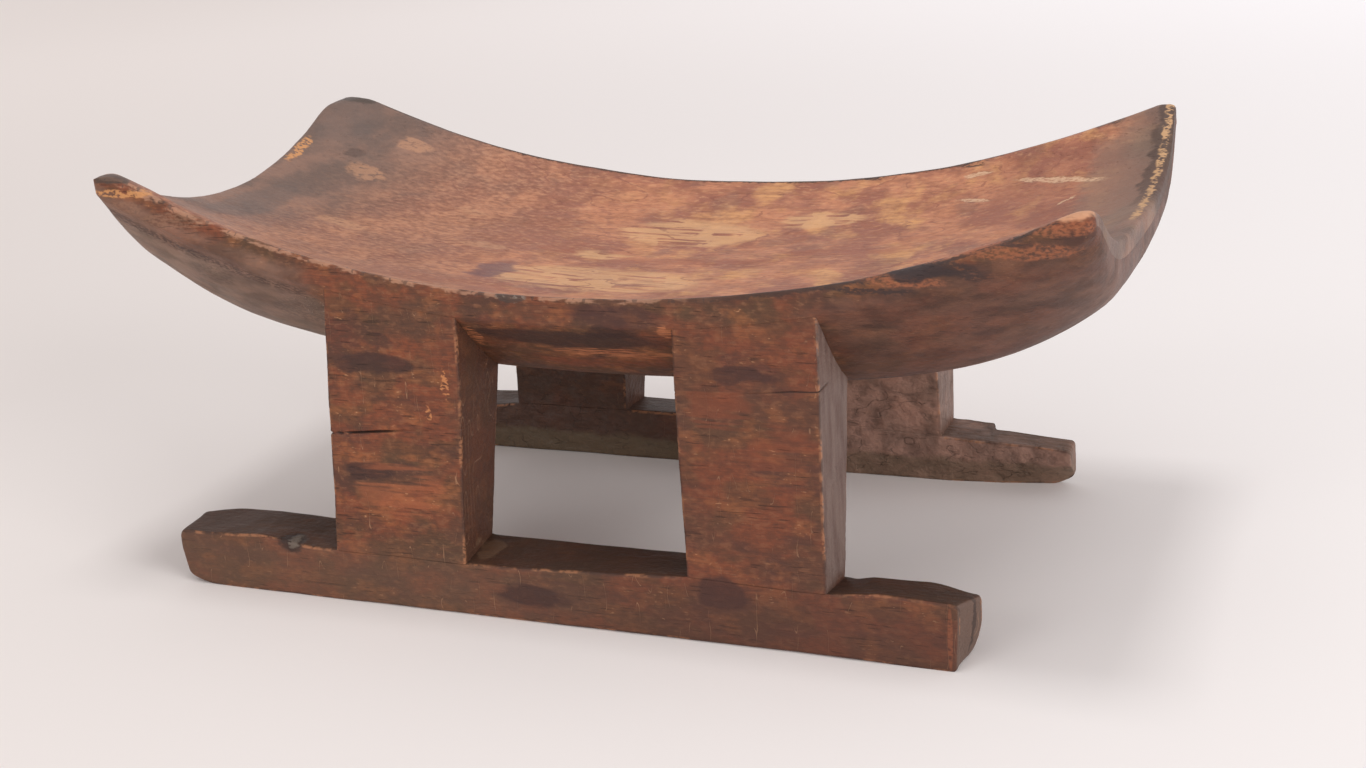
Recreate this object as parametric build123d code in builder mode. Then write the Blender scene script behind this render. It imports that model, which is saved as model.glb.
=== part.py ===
"""Asante stool carved from one block: dished seat on two side frames.

Each side frame is two flat posts and one runner whose ends stick out as toes.
Millimetres, +Z up, floor at Z = 0. +X runs along the stool towards the short toes,
-Y is the front. The origin is on the floor under the middle of the seat.
"""
import os
from build123d import *

os.makedirs("parts", exist_ok=True)

# ---------------------------------------------------------------- driving sizes
# The outer faces of both frames lean in a little as they rise. Posts, runners and the
# upright sides of the seat are all cut to this one face.
FOOT_HALF = 94.0         # half depth of the stool on the floor
LEAN = 0.030             # how far a side face comes in for each mm of height

# seat, seen from the side
SEAT_HALF = 190.0        # half length, end to end
RIM_LOW = 123.6          # top of the rim at its lowest
RIM_LOW_X = 8.0          # where that is: the sag sits nearer the short toes
RISE_LEFT = 44.0         # climb of the rim to the left end
RISE_RIGHT = 37.5        # and to the right end
RIM_CURVE = 2.15         # power of the climb: a plain arc would be 2
LIP = 10.0               # height of the upright side under the rim
KEEL_LOW = 80.0          # underside of the seat at its lowest
END_DEPTH_LEFT = 49.1    # rim to underside at the left end
END_DEPTH_RIGHT = 42.6   # and at the right end
KEEL_SWEEP_LEFT = 0.24   # share of that climb which is spread along the whole half
KEEL_SWEEP_RIGHT = 0.15  # the rest comes late, in the upturned end
TIP_TRIM_LEFT = 4.2      # the raised corners are levelled this far below the rim's end
TIP_TRIM_RIGHT = 1.8
TIP_IN_LEFT = 4.0        # at the tips the ends stand this far inside the full length
TIP_IN_RIGHT = 3.0
BULGE_UP = 2.4           # height above the rim's low point where the ends are longest
STEM_DEEP = 18.0         # the ends curve back under over this height
STEM_IN_LEFT = 3.0       # and by this much
STEM_IN_RIGHT = 6.0

# seat, seen from above
PLAN_RADIUS = 5.0        # rounding of the four corners
PLAN_BOW = 1.0           # how far the ends bow out between the corners

# seat, across. The hollow is a share of the depth from the rim to the underside.
HOLLOW_MIDDLE = 0.30
HOLLOW_LEFT = 0.57
HOLLOW_RIGHT = 0.54
HOLLOW_CURVE = 3.4       # power by which the share grows from the middle to an end
BOWL_LEFT = 0.66         # share of the hollow reached at 0.6 of the half width: a plain
BOWL_RIGHT = 0.86        # bowl on the left, a flatter floor on the right
BILGE = 0.66             # share of FOOT_HALF where the hewn slope meets the bottom
BILGE_RISE = 0.25        # share of the hull's depth by which the bottom has risen there
BILGE_ROUND = 7.0        # rounding of that corner

# frames, seen from the end
RUNNER_TOP = 23.0
RUNNER_THICK = 24.0      # runner on the floor, front to back
POST_FOOT = 22.5         # post where it stands on the runner, front to back
POST_HEAD = 35.5         # and at the seat's lip
HEAD_Z = RIM_LOW - LIP   # height at which the head of a post is measured
ARRIS = 1.0              # worn corners of the posts

# posts, seen from the front: outer foot, inner foot, outer head and inner head along X,
# in shares of SEAT_HALF. All four lean to the right a little differently.
FRONT_LEFT = (-0.511, -0.221, -0.477, -0.190)
FRONT_RIGHT = (0.518, 0.251, 0.517, 0.245)
REAR_LEFT = (-0.536, -0.253, -0.480, -0.189)
REAR_RIGHT = (0.510, 0.258, 0.514, 0.248)

# toes: how far the ends of the runners reach from the middle
FRONT_LONG_TOE = 169.6
FRONT_SHORT_TOE = 148.8
REAR_LONG_TOE = 161.0
REAR_SHORT_TOE = 149.8


def face(z):
    """Half depth of the stool at height z: the leaning outer face."""
    return FOOT_HALF - LEAN * z


def inner(z):
    """Half depth of the space between the frames at height z: the posts' inner face."""
    share = (z - RUNNER_TOP) / (HEAD_Z - RUNNER_TOP)
    return face(z) - POST_FOOT - (POST_HEAD - POST_FOOT) * share


def along(x):
    """Way out from the lowest point of the rim: 0 there, 1 at either end."""
    if x < RIM_LOW_X:
        return (RIM_LOW_X - x) / (SEAT_HALF + RIM_LOW_X)
    return (x - RIM_LOW_X) / (SEAT_HALF - RIM_LOW_X)


def rim(x):
    """Height of the rim, close to a plain arc each way."""
    rise = RISE_LEFT if x < RIM_LOW_X else RISE_RIGHT
    return RIM_LOW + rise * along(x) ** RIM_CURVE


def keel(x):
    """Height of the underside: nearly flat over the frames, then up like a stem."""
    left = x < RIM_LOW_X
    sweep = KEEL_SWEEP_LEFT if left else KEEL_SWEEP_RIGHT
    end = RIM_LOW + (RISE_LEFT - END_DEPTH_LEFT if left else RISE_RIGHT - END_DEPTH_RIGHT)
    return KEEL_LOW + (end - KEEL_LOW) * (sweep * along(x) ** 2 + (1 - sweep) * along(x) ** 5)


def dip(x):
    """Depth of the hollow across the seat."""
    end = HOLLOW_LEFT if x < RIM_LOW_X else HOLLOW_RIGHT
    share = HOLLOW_MIDDLE + (end - HOLLOW_MIDDLE) * along(x) ** HOLLOW_CURVE
    return share * (rim(x) - keel(x))


def bowl(x):
    """Share of the hollow's depth reached at 0.6 of the half width."""
    return BOWL_LEFT + (BOWL_RIGHT - BOWL_LEFT) * (x + SEAT_HALF) / (2 * SEAT_HALF)


def seat_section(x):
    """One frame of the hull: dished top, two upright lips, slopes, slightly round bottom."""
    top, low, hollow = rim(x), keel(x), dip(x)
    edge = top - LIP
    wide, lip = face(top), face(edge)
    bilge, rise = BILGE * FOOT_HALF, BILGE_RISE * (edge - low)
    with BuildSketch(Plane.YZ.offset(x)) as section:
        with BuildLine():
            Spline(
                (-wide, top),
                (-0.60 * wide, top - bowl(x) * hollow),
                (0, top - hollow),
                (0.60 * wide, top - bowl(x) * hollow),
                (wide, top),
            )
            Polyline((wide, top), (lip, edge), (bilge, low + rise))
            Bezier((bilge, low + rise), (0, low - rise), (-bilge, low + rise))
            Polyline((-bilge, low + rise), (-lip, edge), (-wide, top))
        make_face()
        fillet(section.vertices().group_by(Axis.Y)[0], BILGE_ROUND)
    return section.sketch


# ---------------------------------------------------------------- seat
# Lofted over cross-sections as a boat is, then cut to its side view, whose ends bulge
# below the tips, and to its plan with four round corners.
STATIONS = 9             # evenly spaced cross-sections
OVERRUN = 15.2           # the outermost stand this far past the ends, and are cut away
middle = (STATIONS - 1) / 2
places = [(SEAT_HALF + OVERRUN) * (station - middle) / middle for station in range(STATIONS)]
sections = [seat_section(x) for x in places]

with BuildPart() as seat:
    loft(sections)

    with BuildSketch(Plane.XZ) as side_view:
        with BuildLine():
            tip_l, tip_r = TIP_IN_LEFT - SEAT_HALF, SEAT_HALF - TIP_IN_RIGHT
            stem_l, stem_r = STEM_IN_LEFT - SEAT_HALF, SEAT_HALF - STEM_IN_RIGHT
            top_l = RIM_LOW + RISE_LEFT - TIP_TRIM_LEFT
            top_r = RIM_LOW + RISE_RIGHT - TIP_TRIM_RIGHT
            bulge = RIM_LOW + BULGE_UP
            stem = bulge - STEM_DEEP
            Polyline((tip_l + 3, top_l), (0, top_l), (0, top_r), (tip_r - 2, top_r))
            ThreePointArc((tip_r - 2, top_r), (tip_r + 0.6, top_r - 1.6), (tip_r + 1.6, top_r - 5))
            Spline(
                (tip_r + 1.6, top_r - 5),
                (SEAT_HALF - 0.6, 0.5 * (top_r + bulge)),
                (SEAT_HALF, bulge),
                (stem_r, stem),
            )
            Polyline((stem_r, stem), (stem_r, 0), (stem_l, 0), (stem_l, stem))
            Spline(
                (stem_l, stem),
                (-SEAT_HALF, bulge),
                (1 - SEAT_HALF, 0.5 * (top_l + bulge)),
                (tip_l - 1.8, top_l - 7),
            )
            ThreePointArc((tip_l - 1.8, top_l - 7), (tip_l - 0.2, top_l - 1.5), (tip_l + 3, top_l))
        make_face()
    extrude(amount=2 * FOOT_HALF, both=True, mode=Mode.INTERSECT)

    with BuildSketch(Plane.XY) as plan:
        with BuildLine():
            side, corner = face(RIM_LOW) + 1.0, SEAT_HALF - PLAN_BOW
            Line((0, -side), (corner - PLAN_RADIUS, -side))
            RadiusArc((corner - PLAN_RADIUS, -side), (corner, PLAN_RADIUS - side), -PLAN_RADIUS)
            ThreePointArc((corner, PLAN_RADIUS - side), (SEAT_HALF, 0), (corner, side - PLAN_RADIUS))
            RadiusArc((corner, side - PLAN_RADIUS), (corner - PLAN_RADIUS, side), -PLAN_RADIUS)
            Line((corner - PLAN_RADIUS, side), (0, side))
            mirror(about=Plane.YZ)
        make_face()
    extrude(amount=2 * RIM_LOW, mode=Mode.INTERSECT)


# ---------------------------------------------------------------- posts
# The head is first sawn off on a slant that stays inside the seat, from SLANT_OUT above
# the rim at the outer face to SLANT_IN below the lip at the inner one.
SLANT_OUT = 3.0
SLANT_IN = 14.5
INTO_LIP = 3.0


def post_solid(shares, side):
    """One flat post: front view cut through, side view cut across, head cut by the seat.

    shares are the four places of its front view along X, side is -1 for the front frame
    and +1 for the rear one.
    """
    outer_foot, inner_foot, outer_head, inner_head = [share * SEAT_HALF for share in shares]

    def carry(foot, head, z):
        return foot + (head - foot) * (z - RUNNER_TOP) / (HEAD_Z - RUNNER_TOP)

    top_outer = rim(outer_head) - LIP + INTO_LIP
    top_inner = rim(inner_head) - LIP + INTO_LIP
    with BuildPart() as post:
        with BuildSketch(Plane.XZ) as front_view:
            with BuildLine():
                Polyline(
                    (outer_foot, RUNNER_TOP),
                    (inner_foot, RUNNER_TOP),
                    (carry(inner_foot, inner_head, top_inner), top_inner),
                    (carry(outer_foot, outer_head, top_outer), top_outer),
                    close=True,
                )
            make_face()
        extrude(amount=-side * (FOOT_HALF + 5))
        with BuildSketch(Plane.YZ) as end_view:
            with BuildLine():
                Polyline(
                    (side * face(RUNNER_TOP), RUNNER_TOP),
                    (side * face(RIM_LOW + SLANT_OUT), RIM_LOW + SLANT_OUT),
                    (side * inner(HEAD_Z - SLANT_IN), HEAD_Z - SLANT_IN),
                    (side * inner(RUNNER_TOP), RUNNER_TOP),
                    close=True,
                )
            make_face()
        extrude(amount=SEAT_HALF, both=True, mode=Mode.INTERSECT)
        upright = post.edges().filter_by(lambda e: abs(e.tangent_at(0.5).Z) > 0.9)
        fillet(upright, ARRIS)
        add(seat.part, mode=Mode.SUBTRACT)
    return post.part


with BuildPart() as front_left_post:
    add(post_solid(FRONT_LEFT, -1))

with BuildPart() as front_right_post:
    add(post_solid(FRONT_RIGHT, -1))

with BuildPart() as rear_left_post:
    add(post_solid(REAR_LEFT, 1))

# Where the bark ran in, a slanting trough is worn across the inside of the last post's
# foot and on into the runner below it.
TROUGH_X = 0.35 * SEAT_HALF
TROUGH_Z = 34.0
TROUGH_DEPTH = 3.0
TROUGH_RADIUS = 26.0
TROUGH_REACH = 70.0
trough_axis = Plane(
    origin=(TROUGH_X, inner(TROUGH_Z) + TROUGH_DEPTH - TROUGH_RADIUS, TROUGH_Z),
    z_dir=(-0.80, -0.12, 0.60),
)

with BuildPart() as rear_right_post:
    add(post_solid(REAR_RIGHT, 1))
    with Locations(trough_axis):
        Cylinder(TROUGH_RADIUS, TROUGH_REACH, mode=Mode.SUBTRACT)


# ---------------------------------------------------------------- front runner
# Cut from three views. Long rounded toe to the left, short toe to the right with a
# bevelled end and a slight swell on top that falls away towards the inside.
SWELL = 2.0              # height of the swell over the runner's top
TOE_ROUND = 8.4          # how far the ends round back at the sole
TOE_BEVEL = 5.2          # how far the short toe's front corner stands back from its end
TOE_NARROW = 4.0         # how much thinner the toes are at their ends, front to back
HEWN_DROP = 6.5          # how far the short toe's top falls towards the inside
KNOT_RADIUS = 4.4        # dropped knot in the front edge of the long toe
KNOT_IN = 50.0           # its distance from that toe's end

with BuildPart() as front_runner:
    left, right = -FRONT_LONG_TOE, FRONT_SHORT_TOE
    post_l, post_r = FRONT_LEFT[0] * SEAT_HALF, FRONT_RIGHT[0] * SEAT_HALF
    back = RUNNER_THICK - FOOT_HALF
    with BuildSketch(Plane.XZ) as front_view:
        with BuildLine():
            Line((left + TOE_ROUND, 0), (right - TOE_ROUND, 0))
            Spline(
                (right - TOE_ROUND, 0),
                (right - 0.35 * TOE_ROUND, 0.25 * RUNNER_TOP),
                (right, 0.75 * RUNNER_TOP),
            )
            Line((right, 0.75 * RUNNER_TOP), (right - 1.5, RUNNER_TOP + 0.25 * SWELL))
            Spline(
                (right - 1.5, RUNNER_TOP + 0.25 * SWELL),
                (0.6 * right + 0.4 * post_r, RUNNER_TOP + SWELL),
                (post_r, RUNNER_TOP),
            )
            Line((post_r, RUNNER_TOP), (left + 1.2 * TOE_ROUND, RUNNER_TOP))
            Spline(
                (left + 1.2 * TOE_ROUND, RUNNER_TOP),
                (left + 0.5 * TOE_ROUND, 0.92 * RUNNER_TOP),
                (left, 0.7 * RUNNER_TOP),
                (left + 0.35 * TOE_ROUND, 0.2 * RUNNER_TOP),
                (left + TOE_ROUND, 0),
            )
        make_face()
    extrude(amount=FOOT_HALF + 5)
    with BuildSketch(Plane.YZ) as end_view:
        with BuildLine():
            over = RUNNER_TOP + SWELL + 1
            Polyline(
                (-face(0), 0),
                (-face(over), over),
                (-inner(RUNNER_TOP), over),
                (-inner(RUNNER_TOP), RUNNER_TOP),
                (back, 0),
                close=True,
            )
        make_face()
    extrude(amount=SEAT_HALF, both=True, mode=Mode.INTERSECT)
    with BuildSketch(Plane.XY) as plan:
        with BuildLine():
            Polyline(
                (left + TOE_BEVEL, -FOOT_HALF),
                (right - TOE_BEVEL, -FOOT_HALF),
                (right, back - 2 * TOE_NARROW),
                (right - 0.2 * TOE_BEVEL, back - 1.2 * TOE_NARROW),
                (right - 1.8 * TOE_BEVEL, back - 0.4 * TOE_NARROW),
                (post_r, back - 0.5 * TOE_NARROW),
                (post_r, back + 1),
                (post_l - 4 * TOE_BEVEL, back + 1),
                (left + 2 * TOE_BEVEL, back - 0.8 * TOE_NARROW),
                (left + 0.4 * TOE_BEVEL, back - 2 * TOE_NARROW),
                (left, 0.8 * back - 0.2 * FOOT_HALF),
                close=True,
            )
        make_face()
    extrude(amount=2 * RUNNER_TOP, mode=Mode.INTERSECT)
    with BuildSketch(Plane.YZ.offset(post_r)) as hewn:
        with BuildLine():
            ridge = 0.5 * (back - FOOT_HALF)
            Polyline(
                (ridge, RUNNER_TOP + SWELL),
                (back, RUNNER_TOP + SWELL - HEWN_DROP),
                (0, RUNNER_TOP + SWELL - HEWN_DROP),
                (0, 2 * RUNNER_TOP),
                (ridge, 2 * RUNNER_TOP),
                close=True,
            )
        make_face()
    extrude(amount=right - post_r + 5, mode=Mode.SUBTRACT)
    with Locations((left + KNOT_IN, 1 - face(RUNNER_TOP), RUNNER_TOP - 2)):
        Sphere(KNOT_RADIUS, mode=Mode.SUBTRACT)


# ---------------------------------------------------------------- rear runner
# The same bar mirrored. Its right toe is thinner: a slab split off the outer face, and
# the inside is eaten away along the sole.
TOE_CHIP = 8.5           # thickness lost from the outer face of the right toe
CHIP_SHARE = 0.3         # where that starts, as a share of the toe's length
TOE_DROP = 3.0           # fall of the right toe's top to its end
UNDERCUT = 6.0           # how far the inner sole edge is eaten away

with BuildPart() as rear_runner:
    left, right = -REAR_LONG_TOE, REAR_SHORT_TOE
    post_l, post_r = REAR_LEFT[0] * SEAT_HALF, REAR_RIGHT[0] * SEAT_HALF
    back = FOOT_HALF - RUNNER_THICK
    with BuildSketch(Plane.XZ) as front_view:
        with BuildLine():
            Line((left + 0.7 * TOE_ROUND, 0), (right - TOE_ROUND, 0))
            Spline(
                (right - TOE_ROUND, 0),
                (right - 0.27 * TOE_ROUND, 0.17 * RUNNER_TOP),
                (right, 0.52 * RUNNER_TOP),
            )
            Polyline(
                (right, 0.52 * RUNNER_TOP),
                (right - 0.6, RUNNER_TOP - TOE_DROP),
                (post_r, RUNNER_TOP),
                (left + TOE_ROUND, RUNNER_TOP),
            )
            Spline(
                (left + TOE_ROUND, RUNNER_TOP),
                (left + 0.24 * TOE_ROUND, 0.83 * RUNNER_TOP),
                (left, 0.52 * RUNNER_TOP),
                (left + 0.7 * TOE_ROUND, 0),
            )
        make_face()
    extrude(amount=-(FOOT_HALF + 5))
    with BuildSketch(Plane.YZ) as end_view:
        with BuildLine():
            heel = inner(RUNNER_TOP)
            Polyline(
                (back + UNDERCUT, 0),
                (face(0), 0),
                (face(RUNNER_TOP), RUNNER_TOP),
                (heel, RUNNER_TOP),
            )
            ThreePointArc(
                (heel, RUNNER_TOP),
                (heel + 0.13 * UNDERCUT, 0.45 * RUNNER_TOP),
                (back + UNDERCUT, 0),
            )
        make_face()
    extrude(amount=SEAT_HALF, both=True, mode=Mode.INTERSECT)
    with BuildSketch(Plane.XY) as plan:
        with BuildLine():
            chip = post_r + CHIP_SHARE * (right - post_r)
            Polyline(
                (left + 0.7 * TOE_BEVEL, FOOT_HALF),
                (chip - 5, FOOT_HALF),
                (chip, FOOT_HALF - 0.2 * TOE_CHIP),
                (chip + 3, FOOT_HALF - TOE_CHIP),
                (right + 1, FOOT_HALF - 1.4 * TOE_CHIP),
                (right + 1, back - 5),
                (post_r, back - 5),
                (post_l - 4 * TOE_BEVEL, back - 1),
                (left + TOE_BEVEL, back + 0.5 * TOE_NARROW),
                (left, back + 2 * TOE_NARROW),
                (left, FOOT_HALF - 0.2 * RUNNER_THICK),
                close=True,
            )
        make_face()
    extrude(amount=2 * RUNNER_TOP, mode=Mode.INTERSECT)
    with Locations(trough_axis):
        Cylinder(TROUGH_RADIUS, TROUGH_REACH, mode=Mode.SUBTRACT)


# ---------------------------------------------------------------- names and files
seat.part.label = "seat"
front_left_post.part.label = "front_left_post"
front_right_post.part.label = "front_right_post"
front_runner.part.label = "front_runner"
rear_left_post.part.label = "rear_left_post"
rear_right_post.part.label = "rear_right_post"
rear_runner.part.label = "rear_runner"

export_step(seat.part, "parts/seat.step")
export_step(front_left_post.part, "parts/front_left_post.step")
export_step(front_right_post.part, "parts/front_right_post.step")
export_step(front_runner.part, "parts/front_runner.step")
export_step(rear_left_post.part, "parts/rear_left_post.step")
export_step(rear_right_post.part, "parts/rear_right_post.step")
export_step(rear_runner.part, "parts/rear_runner.step")
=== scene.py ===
"""Asante stool carved from one block of wood, old and worn, on a pale studio floor.

The stool's sizes are in millimetres and turned to metres where a mesh is made; lights and
camera are placed in metres. +X runs along the stool towards the short toes, -Y is the
front, the floor is Z = 0.
"""
import math

import bpy
import numpy as np
from mathutils import Matrix, Vector


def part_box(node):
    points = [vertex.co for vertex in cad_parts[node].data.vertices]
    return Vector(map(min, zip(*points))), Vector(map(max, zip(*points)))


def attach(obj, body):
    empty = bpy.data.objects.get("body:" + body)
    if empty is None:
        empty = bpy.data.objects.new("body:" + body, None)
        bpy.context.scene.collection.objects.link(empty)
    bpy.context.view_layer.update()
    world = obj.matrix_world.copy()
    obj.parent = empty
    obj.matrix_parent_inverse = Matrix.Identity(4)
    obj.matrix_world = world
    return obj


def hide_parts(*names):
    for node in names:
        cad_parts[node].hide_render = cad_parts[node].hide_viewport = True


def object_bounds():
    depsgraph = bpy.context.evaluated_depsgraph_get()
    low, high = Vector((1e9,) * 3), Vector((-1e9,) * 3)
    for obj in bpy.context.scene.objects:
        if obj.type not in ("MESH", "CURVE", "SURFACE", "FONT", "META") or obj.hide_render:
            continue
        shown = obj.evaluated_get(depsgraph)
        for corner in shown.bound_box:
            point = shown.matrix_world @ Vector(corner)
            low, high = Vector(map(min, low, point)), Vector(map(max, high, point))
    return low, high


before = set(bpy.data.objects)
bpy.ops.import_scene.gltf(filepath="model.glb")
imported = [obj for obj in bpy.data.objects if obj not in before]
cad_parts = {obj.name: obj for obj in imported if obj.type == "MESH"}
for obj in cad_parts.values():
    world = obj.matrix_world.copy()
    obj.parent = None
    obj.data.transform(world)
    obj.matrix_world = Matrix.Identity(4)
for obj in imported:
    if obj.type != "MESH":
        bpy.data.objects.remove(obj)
CAD_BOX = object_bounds()

# ================================================================ seat
# A dished slab with a boat-shaped underside, cut with the rest from one block of hardwood,
# hewn with an adze and polished by use. Its sides stand upright for a finger's width below
# the rim and then turn in under it.
MM = 0.001
SEAT_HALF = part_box("seat")[1].x / MM
FOOT_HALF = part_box("front_runner")[0].y / -MM
LEAN = 0.030             # how far the outer faces come in for each mm of height
RIM_LOW = 123.6          # top of the rim at its lowest
RIM_LOW_X = 8.0
RISE_LEFT = 44.0         # climb of the rim to either end
RISE_RIGHT = 37.5
RIM_CURVE = 2.15
LIP = 10.0               # height of the upright side
KEEL_LOW = 80.0          # underside at its lowest
END_DEPTH_LEFT = 49.1    # rim to underside at the ends
END_DEPTH_RIGHT = 42.6
HOLLOW = 0.30            # depth of the dish as a share of the rim's height over the keel
HOLLOW_LEFT = 0.57       # and at either end
HOLLOW_RIGHT = 0.54
BILGE = 62.0             # half width at which the side of the hull turns into its bottom
BILGE_SOFT = 0.59        # softness of that turn
BULGE_Z = 126.0          # the ends reach furthest at this height
SPARE = 0.3              # the seat is drawn this much too large and trimmed once it is hewn
TOP_ROUND = 2.2          # radii over which the seat turns into its end faces
UNDER_ROUND = 7.0
HULL_ROUND = 6.0
TIP_CORNER = 1.8         # radii of the plan's corners, at the tips and under them
LOW_CORNER = 4.5
LAND = 1.0               # flat land on the rim, and how much wider it is at the ends
LAND_GAIN = 3.5
BEVEL = 2.2              # the rim's front edge is worn down by this near the right end
WORN_RUN = 5.5           # the right end's top slopes down by 1 mm over this length
TIP_RIGHT = 159.6        # heights of the tips: both right ones, front left, rear left
TIP_FRONT_LEFT = 163.6
TIP_REAR_LEFT = 160.6


def face(z):
    """Half depth of the stool at height z: both frames lean in a little."""
    return FOOT_HALF - LEAN * z


def along(x):
    """Way out from the rim's low point, 0 there and 1 at either end."""
    return np.where(x < RIM_LOW_X, (RIM_LOW_X - x) / (SEAT_HALF + RIM_LOW_X),
                    (x - RIM_LOW_X) / (SEAT_HALF - RIM_LOW_X))


def rim(x):
    """Height of the rim: its low point, and a climb that grows with a power of the way out."""
    return RIM_LOW + np.where(x < RIM_LOW_X, RISE_LEFT, RISE_RIGHT) * along(x) ** RIM_CURVE


def keel(x):
    """Height of the underside on the middle line: flat, then up like a stem, by the way out
    squared for the smaller part of its climb and by its fifth power for the rest."""
    left = x < RIM_LOW_X
    end = RIM_LOW + np.where(left, RISE_LEFT - END_DEPTH_LEFT, RISE_RIGHT - END_DEPTH_RIGHT)
    sweep = np.where(left, 0.24, 0.15)
    way = along(x)
    return KEEL_LOW + (end - KEEL_LOW) * (sweep * way ** 2 + (1 - sweep) * way ** 5)


def dish(x, y):
    """Height of the seat's top: a share of the depth, shaped across as 1 - |y| ** power."""
    gain = np.where(x < RIM_LOW_X, HOLLOW_LEFT, HOLLOW_RIGHT) - HOLLOW
    hollow = HOLLOW + gain * along(x) ** 3.4
    power = np.interp(x, (-SEAT_HALF, SEAT_HALF), (2.1, 3.7))
    across = np.clip(np.abs(y) / face(rim(x)), 0, 1)
    return rim(x) - hollow * (rim(x) - keel(x)) * (1 - across ** power)


def hull(x, y):
    """Height of the underside: flat inside the bilge, then up to the lip's lower edge."""
    edge = rim(x) - LIP
    lip = face(edge)

    def turn(t):
        """0 where t is well below 0 and t where it is well above, rounded between them."""
        return 0.5 * (t + np.sqrt(t * t + BILGE_SOFT ** 2))

    out = turn((np.abs(y) - BILGE) / (lip - BILGE))
    flat, steep = turn(-BILGE / (lip - BILGE)), turn(1.0)
    return keel(x) + (edge - keel(x)) * (out - flat) / (steep - flat)


def noise(points, size, seed):
    """Smooth noise from -1 to 1 with lumps of the given size: random values on a lattice,
    blended between its eight nearest points by the smoothstep of the place between them."""
    p = points / np.asarray(size, float) + seed * 17.3
    cell = np.floor(p).astype(np.int64)
    place = p - cell
    place = place * place * (3 - 2 * place)
    total = np.zeros(p.shape[:-1])
    for corner in np.ndindex(2, 2, 2):
        at = cell + corner
        # large primes scatter the lattice point's number over 31 bits
        drawn = at[..., 0] * 73856093 ^ at[..., 1] * 19349663 ^ at[..., 2] * 83492791
        drawn = (drawn ^ drawn >> 13) * 1274126177 & 0x7FFFFFFF
        weight = np.prod(np.where(corner, place, 1 - place), axis=-1)
        total += weight * (drawn / 0x3FFFFFFF - 1)
    return total


def hewn(points, slow=0.45, facet=0.16, fibre=0.05):
    """Points of the true form moved as the carver left them: slow waves, adze facets and
    fibres along X. The move depends on place alone, so pieces that touch stay joined."""
    moved = points.copy()
    for axis in range(3):
        moved[..., axis] += slow * noise(points, 42, axis)
        moved[..., axis] += facet * noise(points, (13, 9, 9), 3 + axis)
        moved[..., axis] += fibre * noise(points, (9, 1.6, 1.6), 6 + axis)
    return moved


def surface(name, rings):
    """Closed mesh over rings (count, around, 3) in mm, trimmed to the object's box. Rings are
    joined to their neighbours, and each end is zipped shut: point i of its last ring meets
    point -1 - i. Edges of more than 35 degrees stay sharp."""
    count, around = rings.shape[:2]
    index = np.arange(count * around).reshape(count, around)
    after = np.roll(index, -1, axis=1)
    sides = np.stack((index[:-1], after[:-1], after[1:], index[1:]), axis=-1).reshape(-1, 4)
    near, far = index[[0, -1], :around // 2], index[[0, -1], ::-1][:, :around // 2]
    zips = np.stack((near[:, :-1], near[:, 1:], far[:, 1:], far[:, :-1]), axis=-1)
    faces = np.concatenate((sides, zips[0][:, ::-1], zips[1]))
    low, high = (np.array(corner) for corner in CAD_BOX)
    points = np.clip(rings.reshape(-1, 3) * MM, low, high)
    mesh = bpy.data.meshes.new(name)
    mesh.from_pydata(points, [], faces)
    mesh.polygons.foreach_set("use_smooth", np.ones(len(faces), bool))
    mesh.set_sharp_from_angle(angle=math.radians(35))
    piece = bpy.data.objects.new(name, mesh)
    bpy.context.scene.collection.objects.link(piece)
    return piece


def paint(piece, name, values):
    """Stores one number for each point of the mesh, for its material to read."""
    layer = piece.data.attributes.new(name, "FLOAT", "POINT")
    layer.data.foreach_set("value", values.astype(np.float32).ravel())


def ramp(value, low, high):
    """Smooth step from 0 at low to 1 at high."""
    t = np.clip((value - low) / (high - low), 0, 1)
    return t * t * (3 - 2 * t)


def lost(radius, room):
    """How much a quarter round of this radius takes off at a distance room from its end."""
    short = np.clip(radius - room, 0, radius)
    return radius - np.sqrt(radius ** 2 - short ** 2)


def bar(section, ends, radius, stations, turns=8, caps=12):
    """Rings of a bar along X. section(x, room) gives Y and Z round the bar, room being the
    distance to the nearer end face; ends are two functions of Y and Z for the X of those
    faces. Lines run from end to end, bunched where they turn into an end face over their
    own radius, and the face is filled by rings that shrink to its middle line. Section and
    end depend on one another, so x and room start from a guess and are worked out again."""
    first_guess, nearly_closed = 150.0, 0.985
    angles = np.linspace(0, 0.5 * math.pi, turns)[:, None]
    finished = []
    for side, end in zip((-1, 1), ends):
        room = radius * (1 - np.sin(angles))
        x = np.full(room.shape, side * first_guess)
        for _ in range(8):
            y, z = section(x, room)
            x = end(y, z) - side * room
        shrink = np.linspace(0, nearly_closed, caps + 1)[1:, None]
        y_cap = y[-1] + (0.5 * (y[-1] + y[-1, ::-1]) - y[-1]) * shrink
        z_cap = z[-1] + (0.5 * (z[-1] + z[-1, ::-1]) - z[-1]) * shrink
        turned = np.stack((x, y, z), -1)
        cap = np.stack((end(y_cap, z_cap), y_cap, z_cap), -1)
        finished.append(np.concatenate((turned, cap)))
    left, right = finished
    way = np.linspace(0, 1, stations)[1:-1, None]
    x = left[0, :, 0] + (right[0, :, 0] - left[0, :, 0]) * way
    room = radius
    for _ in range(4):
        y, z = section(x, room)
        room = np.minimum(x - ends[0](y, z), ends[1](y, z) - x)
    return np.concatenate((left[::-1], np.stack((x, y, z), -1), right))


def soften(rings, passes):
    """Rounds the corners round each ring by averaging neighbours."""
    for _ in range(passes):
        rings = 0.25 * np.roll(rings, 1, axis=1) + 0.5 * rings + 0.25 * np.roll(rings, -1, axis=1)
    return rings


def mix(first, second, share):
    """Point by point between two sets of rings."""
    return first + (second - first) * share[..., None]


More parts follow.
